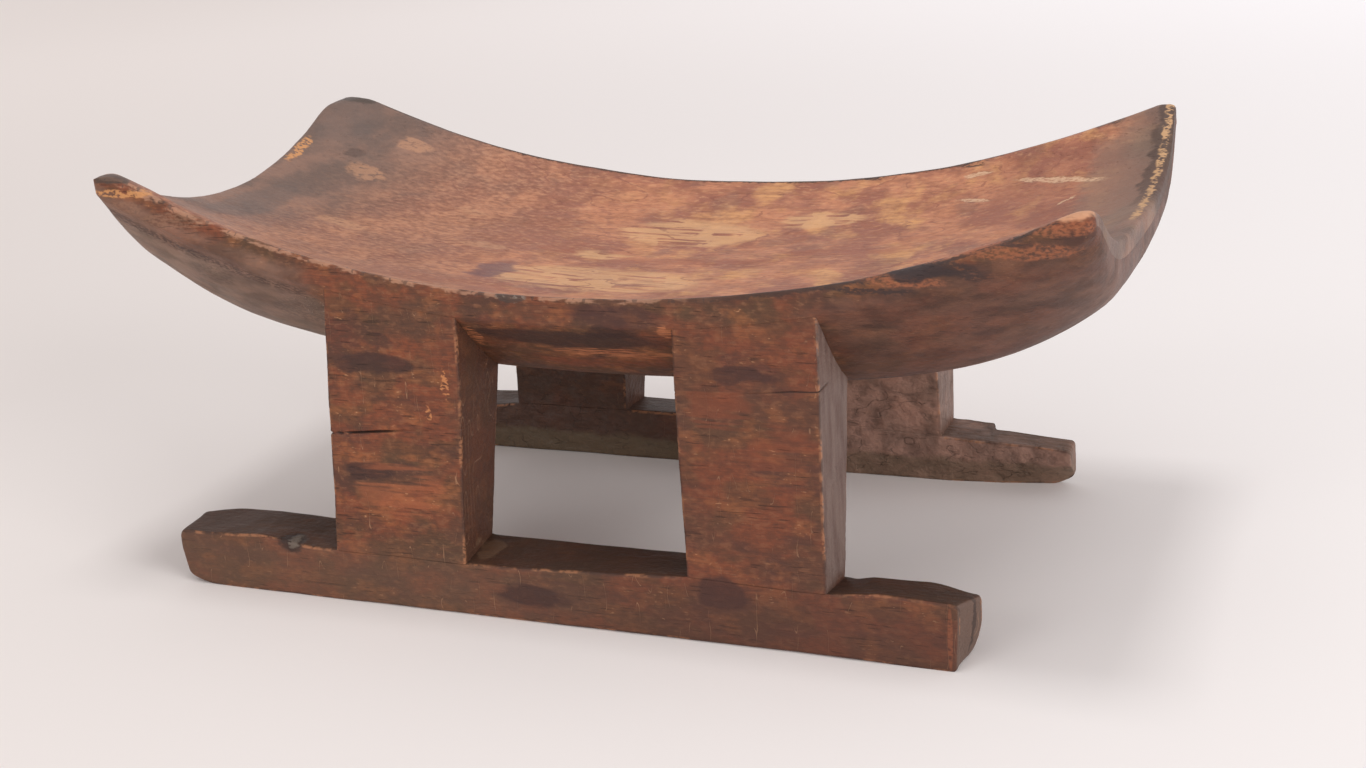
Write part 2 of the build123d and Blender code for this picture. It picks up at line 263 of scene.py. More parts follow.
def end_face(side):
    """X of one end of the seat as a function of Y and Z: furthest out at BULGE_Z, drawn back
    by powers of the height above and below that, and by the square of the way across."""
    top_back, low_back = (2.2, 2.0) if side < 0 else (1.6, 3.0)

    def x(y, z):
        above = np.clip(z - BULGE_Z, 0, None) / 36
        below = np.clip(BULGE_Z - z, 0, None) / 18
        back = top_back * above ** 2.4 + low_back * below ** 2
        return side * (SEAT_HALF + SPARE - back - (y / face(RIM_LOW)) ** 2)
    return x


# Places round the section, from the middle of the front lip up and over: how far across
# (-1 front to 1 rear, closer together towards the lips) and how far up the lip (0 to 1).
ACROSS, UP = 120, 14
spread = np.linspace(-1, 1, ACROSS + 1)[:-1] + 1 / ACROSS
spread = 0.55 * spread + 0.45 * np.sin(0.5 * math.pi * spread)
rise = (np.arange(UP // 2) + 0.5) / UP
flat = np.concatenate((-np.ones(UP // 2), spread, np.ones(UP), spread[::-1], -np.ones(UP // 2)))
level = np.concatenate((0.5 + rise, np.ones(ACROSS), 1 - (np.arange(UP) + 0.5) / UP,
                        np.zeros(ACROSS), rise))
order = np.arange(flat.size)
on_top = (order >= UP // 2) & (order < UP // 2 + ACROSS)
on_hull = (order >= UP // 2 + ACROSS + UP) & (order < flat.size - UP // 2)


def seat_section(x, room):
    """Y and Z round the seat at x. The plan has round corners, smaller at the tips than
    under them; the rim has a land that widens towards the ends, the tips are lifted a
    little, and the top of the right end is worn to a slope."""
    corner = LOW_CORNER - (LOW_CORNER - TIP_CORNER) * level
    wide = face(rim(x) - (1 - level) * LIP) + SPARE - lost(corner, room)
    y = flat * wide
    land = LAND + LAND_GAIN * ramp(np.abs(x), 95, 150)
    bevel = BEVEL * ramp(x, 85, 130) * (1 - ramp(x, 160, 180)) * (y < 0)
    inside = wide - land
    on_land = np.clip((np.abs(y) - inside) / land, 0, 1)
    z_top = dish(x, np.clip(np.abs(y), 0, inside) / inside * face(rim(x))) - bevel * on_land
    z_top = z_top - np.clip(1 - room / WORN_RUN, 0, 1) * (x > 0) * ramp(y, -20, 5)
    z_lip = rim(x) - LIP + level * LIP - bevel * level
    lift = 0.7 + 1.4 * ramp(-x, 145, 168) * (y < 0)
    tip = np.where(x > 0, TIP_RIGHT, np.where(y < 0, TIP_FRONT_LEFT, TIP_REAR_LEFT))
    z = np.where(on_top, z_top, z_lip) + lift * ramp(level, 0.5, 1.0) * ramp(abs(y), 50, 80)
    z = 0.5 * (z + tip - np.sqrt((z - tip) ** 2 + 1))     # soft lower of the two
    z = z - (lost(TOP_ROUND, room) + 0.8 * (1 - ramp(room, 0, 6))) * level
    return y, np.where(on_hull, hull(x, y) + lost(HULL_ROUND, room), z)


rings = bar(seat_section, (end_face(-1), end_face(1)), np.where(on_top, TOP_ROUND, UNDER_ROUND), 292)

# posts, seen from the front: outer foot, inner foot, outer head and inner head along X
POSTS = {
    "front_left_post": (-97.4, -41.8, -90.8, -35.9),
    "front_right_post": (98.7, 47.4, 98.5, 46.3),
    "rear_left_post": (-102.2, -47.9, -91.6, -35.7),
    "rear_right_post": (96.4, 48.8, 97.6, 46.9),
}
RUNNER_TOP = 23.0
HEAD_Z = RIM_LOW - LIP


def post_sides(name, z):
    """X of a post's two sides at height z, left one first."""
    outer_foot, inner_foot, outer_head, inner_head = POSTS[name]
    up = (z - RUNNER_TOP) / (HEAD_Z - RUNNER_TOP)
    outer = outer_foot + (outer_head - outer_foot) * up
    inner_side = inner_foot + (inner_head - inner_foot) * up
    return np.minimum(outer, inner_side), np.maximum(outer, inner_side)


def over_posts(points, soft=1.5):
    """1 where a post of the frame on that side stands, falling to 0 just outside it."""
    x, y, z = np.moveaxis(points, -1, 0)
    inside = np.zeros(x.shape)
    for name in POSTS:
        low, high = post_sides(name, z)
        near = ramp(x, low - soft, low) * (1 - ramp(x, high, high + soft))
        inside = np.maximum(inside, near * ((y < 0) == ("front" in name)))
    return inside


x, y, z = np.moveaxis(rings, -1, 0)
above_lip = z - (rim(x) - LIP)
crisp = over_posts(rings) * (1 - ramp(above_lip, 2.0, 5.0))
worn = np.maximum(ramp(np.abs(x), 150, 185), ramp(x, 80, 110) * (y < 0))
worn = worn * ramp(above_lip, 2.0, 6.0)
shaped = mix(soften(rings, 2), soften(rings, 7), worn)
shaped = mix(shaped, rings, crisp)
seat = surface("carved_seat", hewn(shaped))
paint(seat, "rim_mm", np.where(on_top, face(rim(x)) - np.abs(y), z - rim(x)))
paint(seat, "dish", np.broadcast_to(on_top, rings.shape[:2]).astype(float))


def shown(colour):
    """Linear colour of one written as it looks, 0 to 255; a node's output stays one."""
    if isinstance(colour, bpy.types.NodeSocket):
        return colour
    return (*(((part / 255 + 0.055) / 1.055) ** 2.4 for part in colour), 1.0)


def node(tree, kind, inputs=None, **settings):
    """A shader node; inputs maps sockets to a value or to another node's output."""
    made = tree.nodes.new("ShaderNode" + kind)
    for name, value in settings.items():
        setattr(made, name, value)
    for socket, value in (inputs or {}).items():
        if isinstance(value, bpy.types.NodeSocket):
            tree.links.new(value, made.inputs[socket])
        else:
            made.inputs[socket].default_value = value
    return made


def calc(tree, operation, first, second=0.0):
    """One sum on numbers."""
    return node(tree, "Math", {0: first, 1: second}, operation=operation).outputs[0]


def times(tree, first, *others):
    """Product of some shares."""
    for other in others:
        first = calc(tree, "MULTIPLY", first, other)
    return first


def either(tree, first, *others):
    """Greatest of some shares."""
    for other in others:
        first = calc(tree, "MAXIMUM", first, other)
    return first


def step(tree, value, low, high):
    """Smooth step from 0 at low to 1 at high; low may be the greater of the two."""
    return node(tree, "MapRange", {"Value": value, "From Min": low, "From Max": high},
                interpolation_type="SMOOTHSTEP").outputs[0]


def vector(tree, operation, *inputs, output=0):
    """One sum on places."""
    made = node(tree, "VectorMath", dict(enumerate(inputs)), operation=operation)
    return made.outputs[output]


def blend(tree, share, first, second):
    """Colour from first to second."""
    inputs = {0: share, 6: shown(first), 7: shown(second)}
    return node(tree, "Mix", inputs, data_type="RGBA").outputs[2]


def stains(tree, colour, *layers):
    """colour with others laid over it in turn. A layer is its colour, its strength and the
    masks that must all be set where it shows."""
    for shade, strength, *masks in layers:
        colour = blend(tree, times(tree, *masks, strength), colour, shade)
    return colour


def lumps(tree, place, size, seed, detail, output="Fac"):
    """Noise with lumps of the given size in mm along X, Y and Z."""
    waves = [1 / side for side in size]
    scaled = vector(tree, "MULTIPLY_ADD", place, waves, (seed, seed, seed))
    noisy = node(tree, "TexNoise", {"Vector": scaled, "Scale": 1.0, "Detail": detail})
    return noisy.outputs[output]


def new_group(name, inputs, outputs):
    """Empty node group with named sockets; gives its tree, its inputs and its outputs."""
    tree = bpy.data.node_groups.new(name, "ShaderNodeTree")
    for way, sockets in (("INPUT", inputs), ("OUTPUT", outputs)):
        for socket, kind in sockets.items():
            tree.interface.new_socket(socket, in_out=way, socket_type="NodeSocket" + kind)
    return tree, tree.nodes.new("NodeGroupInput").outputs, tree.nodes.new("NodeGroupOutput").inputs


# Grain of the block. Everything in it is long along X: year rings round a heart that lay
# under the stool, streaks, fine fibres and short dark splits.
grain, at, out = new_group("grain", {"Place": "Vector"},
                           dict.fromkeys(("Rings", "Streak", "Fibre", "Split"), "Float"))
heart = vector(grain, "ADD", at["Place"], (0, 35, 150))
sway = lumps(grain, at["Place"], (70, 30, 30), 3, 3, "Color")
bent = vector(grain, "MULTIPLY_ADD", sway, (0, 34, 34), heart)
across = vector(grain, "MULTIPLY", bent, (0, 1, 1))
radius = vector(grain, "LENGTH", across, output="Value")
HALF_RING = 3.1          # a year ring is twice this wide
ring = calc(grain, "PINGPONG", radius, HALF_RING)
grain.links.new(step(grain, ring, 0.2, 3.0), out["Rings"])
grain.links.new(lumps(grain, at["Place"], (38, 2.6, 2.2), 11, 3), out["Streak"])
grain.links.new(lumps(grain, at["Place"], (9, 0.55, 0.5), 17, 2), out["Fibre"])
split = lumps(grain, at["Place"], (11, 0.9, 0.8), 23, 1)
gathered = lumps(grain, at["Place"], (26, 12, 9), 29, 1)
split = calc(grain, "ADD", split, times(grain, gathered, 0.35))
grain.links.new(step(grain, split, 0.86, 0.94), out["Split"])

# A patch: an ellipsoid with a centre and three radii in mm, turned about Z, whose border is
# as ragged as the place that comes in.
patch, at, out = new_group("patch", {"Place": "Vector", "Centre": "Vector", "Radii": "Vector",
                                     "Turn": "Float"}, {"Mask": "Float"})
off = vector(patch, "SUBTRACT", at["Place"], at["Centre"])
off = node(patch, "VectorRotate", {"Vector": off, "Angle": at["Turn"]},
           rotation_type="Z_AXIS").outputs[0]
off = vector(patch, "LENGTH", vector(patch, "DIVIDE", off, at["Radii"]), output="Value")
patch.links.new(step(patch, off, 1.2, 0.8), out["Mask"])

# Scratches: thin lines where a stretched noise crosses its middle value, kept only where
# a slower noise is high.
scratch, at, out = new_group("scratch", {"Place": "Vector", "Width": "Float", "Share": "Float"},
                             {"Mask": "Float"})
line = calc(scratch, "SUBTRACT", lumps(scratch, at["Place"], (1, 1, 1), 5, 0), 0.5)
line = calc(scratch, "DIVIDE", calc(scratch, "ABSOLUTE", line), at["Width"])
kept = lumps(scratch, at["Place"], (0.8, 2.4, 2.4), 31, 1)
kept = step(scratch, calc(scratch, "ADD", kept, at["Share"]), 0.98, 1.06)
scratch.links.new(times(scratch, kept, step(scratch, line, 1.0, 0.4)), out["Mask"])

# The red-brown body of the wood, as on the lips, posts and runners: brick red, purple-brown
# and olive clouds under a fine mottle, with short fibres, orange rubs and dark splits.
body, at, out = new_group("body_wood", {"Place": "Vector"},
                          {"Color": "Color", "Roughness": "Float", "Height": "Float"})
place = at["Place"]
fibres = node(body, "Group", {"Place": place}, node_tree=grain).outputs
red_share = step(body, lumps(body, place, (28, 20, 18), 1, 4), 0.40, 0.60)
olive_share = step(body, lumps(body, place, (22, 15, 14), 2, 5), 0.48, 0.58)
purple_share = step(body, lumps(body, place, (24, 12, 11), 4, 6), 0.55, 0.64)
orange_share = step(body, lumps(body, place, (13, 9, 8), 44, 6), 0.52, 0.66)
mottle = lumps(body, place, (3.2, 2.0, 2.0), 8, 6)
streaky = step(body, lumps(body, place, (40, 14, 11), 45, 3), 0.54, 0.66)
fleck = step(body, lumps(body, place, (2.6, 0.7, 0.9), 7, 2), 0.64, 0.73)
fleck_strength = calc(body, "ADD", 0.1, times(body, orange_share, 0.5))
colour = blend(body, red_share, (97, 63, 46), (127, 69, 45))
colour = stains(
    body, colour,
    ((90, 68, 48), 0.55, olive_share),
    ((80, 50, 43), 0.6, purple_share),
    ((156, 96, 58), 0.5, orange_share),
    ((76, 52, 40), 0.42, step(body, mottle, 0.54, 0.36)),
    ((150, 102, 72), 0.32, step(body, mottle, 0.52, 0.68)),
    ((80, 46, 38), 0.40, streaky, step(body, fibres["Streak"], 0.54, 0.42)),
    ((64, 42, 34), 0.26, step(body, fibres["Fibre"], 0.54, 0.34)),
    ((204, 150, 108), fleck_strength, fleck),
    ((50, 33, 28), 0.5, fibres["Split"]))
body.links.new(colour, out["Color"])
shine = calc(body, "ADD", 0.46, times(body, fibres["Fibre"], 0.2))
body.links.new(calc(body, "ADD", shine, times(body, olive_share, 0.08)), out["Roughness"])
relief = times(body, fibres["Fibre"], 0.14)
relief = calc(body, "ADD", relief, times(body, mottle, 0.45))
relief = calc(body, "SUBTRACT", relief, times(body, fibres["Split"], 0.20))
body.links.new(relief, out["Height"])


def start(name):
    """New material; gives it, its tree and three places in mm: the true one, and two pushed
    about by noise, a little for wavering borders and strongly for torn ones."""
    wood = bpy.data.materials.new(name)
    wood.use_nodes = True
    tree = wood.node_tree
    place = node(tree, "VectorMath", {0: node(tree, "TexCoord").outputs["Object"], 3: 1 / MM},
                 operation="SCALE").outputs[0]
    placed = [place]
    for size, reach in ((2.5, 2.5), (7, 8)):
        waver = lumps(tree, place, (1.8 * size, size, size), 41, 3, "Color")
        waver = vector(tree, "SUBTRACT", waver, (0.5, 0.5, 0.5))
        placed.append(vector(tree, "MULTIPLY_ADD", waver, (2 * reach, reach, reach), place))
    return wood, tree, placed


def spots(tree, place, *patches):
    """The union of some patches, each a centre, radii and perhaps a turn in degrees."""
    masks = []
    for centre, radii, *turn in patches:
        angle = math.radians(turn[0]) if turn else 0.0
        values = {"Place": place, "Centre": centre, "Radii": radii, "Turn": -angle}
        masks.append(node(tree, "Group", values, node_tree=patch).outputs[0])
    return either(tree, *masks)


def scratches(tree, place, stretch, width, share):
    """Mask of scratches; stretch is how many waves of their noise go into a mm along X, Y
    and Z. Greater width makes broader lines, and greater share more of them."""
    values = {"Place": vector(tree, "MULTIPLY", place, stretch), "Width": width, "Share": share}
    return node(tree, "Group", values, node_tree=scratch).outputs[0]


def finish(wood, tree, colour, rough, height):
    """Joins a material's colour, roughness and height in mm to its shader."""
    shader = tree.nodes["Principled BSDF"]
    shader.inputs["Specular IOR Level"].default_value = 0.30
    tree.links.new(colour, shader.inputs["Base Color"])
    tree.links.new(rough, shader.inputs["Roughness"])
    bump = node(tree, "Bump", {"Height": height, "Strength": 1.0, "Distance": MM})
    tree.links.new(bump.outputs[0], shader.inputs["Normal"])
    return wood


def seat_material():
    """Body wood outside, honey-coloured worn wood in the dish, dirt and wear on the rim."""
    wood, tree, (place, wavy, torn) = start("seat_wood")
    outside = node(tree, "Group", {"Place": place}, node_tree=body).outputs
    fibres = node(tree, "Group", {"Place": place}, node_tree=grain).outputs
    x, y, z = node(tree, "SeparateXYZ", {0: place}).outputs
    x_torn = node(tree, "SeparateXYZ", {0: torn}).outputs["X"]
    below = node(tree, "Attribute", attribute_name="rim_mm").outputs["Fac"]
    speck = lumps(tree, place, (2.2, 1.1, 1.1), 13, 3)
    below_torn = calc(tree, "ADD", below, times(tree, calc(tree, "SUBTRACT", speck, 0.5), 3.2))

    # hull: smooth grey-brown towards the ends, weathered wood with a painted sheen, paler at the
    # right end as painted light, and a ragged dark line where it starts
    grey_mix = step(tree, lumps(tree, place, (30, 18, 12), 14, 4), 0.35, 0.65)
    # the greys carry a painted sheen, the right one also painted light
    left_grey = blend(tree, grey_mix, (108, 92, 76), (138, 120, 100))
    right_grey = blend(tree, grey_mix, (110, 90, 84), (148, 129, 121))
    grey = blend(tree, step(tree, x, -20, 60), left_grey, right_grey)
    grey = stains(tree, grey, ((90, 68, 60), 0.4, step(tree, fibres["Streak"], 0.55, 0.35)))
    slanting = step(tree, calc(tree, "SUBTRACT", x_torn, z), 15, 95)
    at_ends = either(tree, step(tree, x_torn, -88, -104), slanting)
    hull_share = times(tree, at_ends, step(tree, below_torn, -13, -21))
    rightness = step(tree, x, -60, 60)
    dull = either(tree, step(tree, x_torn, -85, -110), step(tree, x_torn, 84, 110))
    dull_mix = step(tree, lumps(tree, place, (14, 7, 7), 62, 6), 0.34, 0.64)
    left_dull = blend(tree, dull_mix, (104, 76, 64), (142, 108, 92))
    right_dull = blend(tree, dull_mix, (70, 48, 42), (104, 72, 60))
    dull_brown = blend(tree, rightness, left_dull, right_dull)
    ragged = times(tree, step(tree, below_torn, -12, -15), step(tree, below_torn, -20, -17),
                   step(tree, x_torn, -92, -104), step(tree, speck, 0.40, 0.56))
    grimy = spots(tree, torn, ((-112, -80, 108), (14, 12, 8)), ((-146, -82, 124), (12, 8, 5)))
    colour = stains(
        tree, outside["Color"],
        (grey, 0.9, hull_share),
        (dull_brown, 0.65, dull, step(tree, below_torn, -2, -7)),
        ((70, 48, 40), 0.75, ragged),
        ((84, 62, 52), 0.5, grimy, step(tree, speck, 0.60, 0.40)))

    # dish: brown, honey and gold clouds with a fine grain
    cloud = lumps(tree, place, (24, 25, 18), 15, 6)
    gold_cloud = step(tree, lumps(tree, place, (18, 22, 16), 51, 6), 0.50, 0.66)
    gold_cloud = times(tree, gold_cloud, step(tree, x, -90, 40))
    dark_cloud = step(tree, lumps(tree, place, (17, 20, 15), 52, 6), 0.54, 0.66)
    swirl = scratches(tree, torn, (0.030, 0.055, 0.055), 0.030, 0.50)
    grit = lumps(tree, place, (3.4, 1.7, 1.7), 53, 4)
    inside = blend(tree, step(tree, cloud, 0.42, 0.60), (154, 97, 77), (193, 130, 97))
    inside = stains(
        tree, inside,
        ((214, 158, 104), 0.75, gold_cloud),
        ((132, 94, 80), 0.55, dark_cloud),
        ((138, 84, 74), 0.38, swirl),
        ((150, 96, 70), 0.30, step(tree, fibres["Rings"], 0.35, 0.0)),
        ((132, 86, 66), 0.45, step(tree, grit, 0.50, 0.30)),
        ((216, 164, 122), 0.35, step(tree, grit, 0.52, 0.70)),
        ((136, 86, 66), 0.25, step(tree, fibres["Streak"], 0.50, 0.34)),
        ((128, 80, 62), 0.22, step(tree, fibres["Fibre"], 0.55, 0.35)))

    # over that: tan where it is sat on, thin dark lines of figure, grey at both ends, and
    # the marks and gouges of use
    tan = spots(tree, torn, ((-14, -24, 111), (44, 18, 12)), ((0, 44, 113), (30, 14, 12)),
                ((-26, 12, 111), (12, 5, 8)), ((52, 60, 116), (18, 7, 10)))
    tan = times(tree, tan, step(tree, calc(tree, "ADD", gold_cloud, fibres["Streak"]), 0.38, 0.54))
    gritty = blend(tree, step(tree, grit, 0.34, 0.66), (126, 88, 70), (174, 126, 100))
    figure = scratches(tree, wavy, (0.045, 0.12, 0.12), 0.022, 0.52)
    slanted = calc(tree, "SUBTRACT", x_torn, times(tree, y, 0.35))
    end_grey = either(tree, step(tree, slanted, -120, -184), step(tree, x_torn, 158, 182))
    grey_brown = blend(tree, step(tree, cloud, 0.40, 0.62), (98, 84, 77), (126, 100, 88))
    reddish = spots(tree, torn, ((150, 50, 134), (40, 34, 18), -15))
    # in the dish these patches are dust alone
    dust_and_painted_light = spots(tree, wavy, ((-174, -10, 134), (9, 30, 12)), ((-176, 76, 152), (16, 20, 14)))
    faded = spots(tree, torn, ((172, 34, 138), (16, 56, 22)))
    leaves = spots(tree, torn, ((-154, 48, 135), (11, 5, 6), -10), ((-142, 73, 141), (8, 4, 6), 10),
                   ((-138, 0, 125), (12, 5, 6), -12), ((-96, 40, 125), (9, 4, 6)),
                   ((-76, 6, 116), (9, 4, 6)))
    bruise = spots(tree, torn, ((-56, -24, 114), (8, 13, 8)))
    bands = spots(tree, torn, ((10, 8, 111), (34, 4, 8), 4), ((-44, 14, 112), (12, 4, 8)),
                  ((70, 20, 115), (26, 5, 8), -8))
    dent = spots(tree, wavy, ((-164, 57, 141), (5, 2.5, 4), 30))
    gouges = spots(tree, wavy, ((148, 66, 133), (21, 1.6, 5), -19), ((112, 81, 131), (6, 1.2, 4)),
                   ((114, 65, 124), (8, 1.2, 4), -18), ((153, 50, 128), (4, 0.8, 4), 40))
    inside = stains(
        tree, inside,
        ((216, 168, 122), 0.65, tan),
        (gritty, 0.55, step(tree, x_torn, -30, -110)),
        ((122, 72, 60), 0.5, figure),
        (grey_brown, 0.85, end_grey),
        ((146, 94, 78), 0.45, reddish),
        ((90, 80, 76), 0.45, dust_and_painted_light),
        ((132, 110, 96), 0.5, faded),
        ((186, 138, 106), 0.55, leaves, step(tree, grit, 0.30, 0.50)),
        ((108, 76, 78), 0.75, bruise),
        ((148, 86, 66), 0.45, bands),
        ((92, 72, 64), 0.7, dent),
        ((212, 176, 144), 0.8, gouges, step(tree, fibres["Fibre"], 0.36, 0.50)))
    on_dish = node(tree, "Attribute", attribute_name="dish").outputs["Fac"]
    colour = blend(tree, times(tree, on_dish, step(tree, below_torn, 0.6, 2.4)), colour, inside)

    # rim: rubbed pale in front here and there, with short dark dashes, and dark behind and
    # over the short toes
    rim_line = times(tree, step(tree, below_torn, -1.2, -0.3), step(tree, below_torn, 2.0, 1.0))
    front = step(tree, y, 0, -40)
    broken = step(tree, lumps(tree, place, (9, 3, 3), 19, 2), 0.42, 0.52)
    dark = either(tree, step(tree, y, 0, 40), step(tree, x, 40, 80))
    dashes = step(tree, lumps(tree, place, (2.0, 6, 3), 21, 1), 0.58, 0.64)
    colour = stains(
        tree, colour,
        ((196, 148, 120), 0.5, rim_line, front, step(tree, x, 70, 30), broken),
        ((62, 44, 38), 0.8, rim_line, dark),
        ((70, 52, 46), 0.6, rim_line, front, dashes))

    # the four tips and the end ridges
    fine = lumps(tree, place, (1.6, 0.8, 0.8), 61, 3)
    orange = spots(tree, wavy, ((164, -90, 146), (25, 5, 2.8)), ((178, -90, 154), (12, 5, 3)),
                   ((-174, -90, 151), (9, 4, 3)), ((-152, -90, 147), (16, 3, 3)),
                   ((128, -90, 135), (14, 4, 2)))
    rubbed = blend(tree, rightness, (146, 108, 86), (166, 100, 68))
    black = spots(tree, torn, ((134, -90, 139), (22, 5, 3.8)), ((110, 89, 134), (10, 4, 2)),
                  ((162, 87, 151), (9, 4, 2.5)), ((108, -90.5, 132.5), (26, 4, 2)),
                  ((60, 90, 127), (14, 4, 1.6)), ((160, -90, 149), (10, 4, 2.2)))
    grimed = step(tree, calc(tree, "ADD", fine, fibres["Streak"]), 0.84, 1.06)
    gold = spots(tree, wavy, ((-174, -89, 157), (13, 5, 1.5)), ((-185, 46, 145.5), (2.6, 15, 4)))
    knob = spots(tree, wavy, ((180.5, -88, 158.5), (8, 6, 3)))
    core = spots(tree, torn, ((131, -90, 138), (15, 5, 2.4)))
    caps = spots(tree, wavy, ((-178, -88, 163), (10, 5, 2.4)), ((-178, 87, 161), (13, 6, 4)))
    border = times(tree, step(tree, x_torn, 180.5, 183), step(tree, y, 10, 40), on_dish)
    x_wavy = node(tree, "SeparateXYZ", {0: wavy}).outputs["X"]
    ridge = times(tree, step(tree, x_wavy, 184.8, 185.8), step(tree, x_wavy, 188.2, 187.4), on_dish,
                  step(tree, y, -10, 0))
    spotted = step(tree, calc(tree, "ADD", fine, lumps(tree, place, (6, 6, 6), 55, 2)), 0.88, 1.04)
    colour = stains(
        tree, colour,
        (rubbed, 0.6, orange, step(tree, fine, 0.34, 0.62)),
        ((58, 44, 42), 0.85, black, grimed),
        ((204, 144, 92), 0.85, gold, step(tree, speck, 0.40, 0.52)),
        ((212, 156, 120), 0.85, knob),
        ((54, 42, 42), 0.85, core),
        ((70, 60, 54), 0.8, caps),
        ((72, 56, 50), 0.7, border),
        ((200, 158, 116), 0.9, ridge, spotted))

    # lip and window head: dark stains, painted shade on the underside over the window, orange
    # splinters, the speckled knot in the rim and pale slanting cuts
    splinters = spots(tree, wavy, ((20, -78, 101), (24, 6, 2.6)), ((-34, -82, 106), (3, 9, 6)),
                      ((44, -89, 113), (3, 4, 4)))
    knot = spots(tree, wavy, ((-13.5, -90, 124), (6, 4, 2.2)))
    hacked = spots(tree, torn, ((-102, -80, 113), (10, 6, 6)))
    diagonal = node(tree, "VectorRotate", {"Vector": place, "Angle": 0.6},
                    rotation_type="Y_AXIS").outputs[0]
    cuts = times(tree, hacked, scratches(tree, diagonal, (0.10, 0.5, 0.9), 0.03, 0.6))
    colour = stains(
        tree, colour,
        ((72, 44, 40), 0.6, spots(tree, torn, ((27, -90, 118), (19, 4, 4.5)))),
        ((52, 34, 31), 0.7, spots(tree, torn, ((24, -87, 112), (12, 5, 3)))),
        # painted shade on the underside of the seat over the window
        ((58, 38, 34), 0.75, spots(tree, torn, ((4, -84, 108), (37, 8, 5)))),
        ((186, 116, 78), 0.8, splinters, step(tree, fibres["Fibre"], 0.46, 0.54)),
        ((72, 60, 54), 0.8, knot),
        ((142, 128, 116), 0.6, knot, step(tree, speck, 0.56, 0.62)),
        ((172, 146, 128), 0.6, cuts))

    rough = calc(tree, "SUBTRACT", outside["Roughness"], times(tree, on_dish, 0.06))
    rough = calc(tree, "SUBTRACT", rough, times(tree, hull_share, 0.06))
    height = times(tree, outside["Height"], calc(tree, "SUBTRACT", 1.0, times(tree, hull_share, 0.5)))
    height = calc(tree, "SUBTRACT", height, times(tree, gouges, 0.25))
    height = calc(tree, "ADD", height, times(tree, cuts, 0.2))
    return finish(wood, tree, colour, rough, height)


seat.data.materials.append(seat_material())
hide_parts("seat")
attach(seat, "root")

# ================================================================ runners
# One bar of the same block under each pair of posts, its ends left standing out as toes.
# Hewn by eye, so the tops rise and fall; the front one's sill climbs to the right.
RUNNER_THICK = 24.0
RUNNER_ROUND = 2.0       # radius over which a toe turns into its end face
POST_FOOT_THICK = 22.5   # posts from front to back, at the foot and at the head
POST_HEAD_THICK = 35.5


def inner(z):
    """Half depth of the space between the frames: a post thickens towards its head."""
    up_share = (z - RUNNER_TOP) / (HEAD_Z - RUNNER_TOP)
    return face(z) - POST_FOOT_THICK - (POST_HEAD_THICK - POST_FOOT_THICK) * up_share


def front_top(x, share):
    """Height of the front runner's top: it follows one line of heights along the outer edge,
    where share is 0, and another along the inner one, where it is 1."""
    outer = np.interp(x, (-168, -158, -132, -121, -110, -40, 0, 47, 99, 117, 143),
                      (22.2, 22.4, 23.9, 22.3, 20.9, 20.1, 21.8, 24.6, 23.3, 25.6, 25.2))
    inward = np.interp(x, (-168, -160, -135, -100, 40, 47, 99, 110, 130, 147),
                       (24.0, 24.4, 24.6, 23.6, 23.7, 23.0, 20.3, 22.9, 23.8, 23.4))
    return outer + (inward - outer) * share


def rear_top(x, share):
    """Height of the rear runner's top, likewise, and torn by noise where the short toe's
    outer slab split off."""
    x, share = np.broadcast_arrays(x, share)
    torn = noise(np.stack((x, RUNNER_THICK * share, 0 * x), -1), (4, 6, 1), 8)
    torn = torn * ramp(x, 99, 102) * (1 - ramp(x, 114, 119))
    outer = np.interp(x, (-161, -113, -48, 97, 112, 118, 150),
                      (19.0, 20.5, 21.8, 21.4, 20.8, 20.6, 19.0))
    inward = np.interp(x, (-161, -113, -101, 49, 100, 138, 150),
                       (19.0, 20.8, 22.6, 23.4, 20.6, 18.9, 17.8))
    return outer + (inward - outer) * share + 0.9 * torn * (1 - share)


# Places round a runner's section from the middle of the outer face up and over.
TALL, DEEP = 26, 30
up_share = (np.arange(TALL) + 0.5) / TALL
in_share = (np.arange(DEEP) + 0.5) / DEEP
up = np.concatenate((up_share[TALL // 2:], np.ones(DEEP), up_share[::-1], np.zeros(DEEP),
                     up_share[:TALL // 2]))
inward = np.concatenate((np.zeros(TALL // 2), in_share, np.ones(TALL), in_share[::-1],
                         np.zeros(TALL // 2)))


def runner_section(side, top, thickness):
    """Section of a runner as a function of x and room; side is -1 for the front one, and
    thickness(x, z) is its size from front to back. It shrinks about its middle at an end."""
    def section(x, room):
        size = 1 - lost(RUNNER_ROUND, room) / (0.5 * RUNNER_THICK)
        z = top(x, inward) * (0.5 + (up - 0.5) * size)
        share = 0.5 + (inward - 0.5) * size
        return side * (face(z) - outer_loss(side, x) - thickness(x, z) * share), z
    return section


def outer_loss(side, x):
    """The slab split off the outer face of the rear runner's right toe: a step, then a slope."""
    return 0 if side < 0 else 8.5 * ramp(x, 113.5, 117.0) + 2.5 * ramp(x, 117, 150)


def front_thickness(x, z):
    """Front to back, thinner by smooth steps at the toes' ends."""
    heel = face(z) - (FOOT_HALF - RUNNER_THICK) - z / RUNNER_TOP
    return heel - 7 * ramp(-x, 150, 172) - 5 * ramp(x, 130, 150) - 3 * ramp(x, 99, 105)


def rear_thickness(x, z):
    """Front to back, the inner side of the sole eaten away, most of all at the short toe."""
    heel = face(z) - inner(RUNNER_TOP)
    gone = np.interp(x, (-115, -53, 99, 120, 140, 150), (0.5, 0.5, 3.0, 5.5, 8.8, 12.0))
    return heel - gone * (1 - ramp(z, 0, 14)) - outer_loss(1, x)


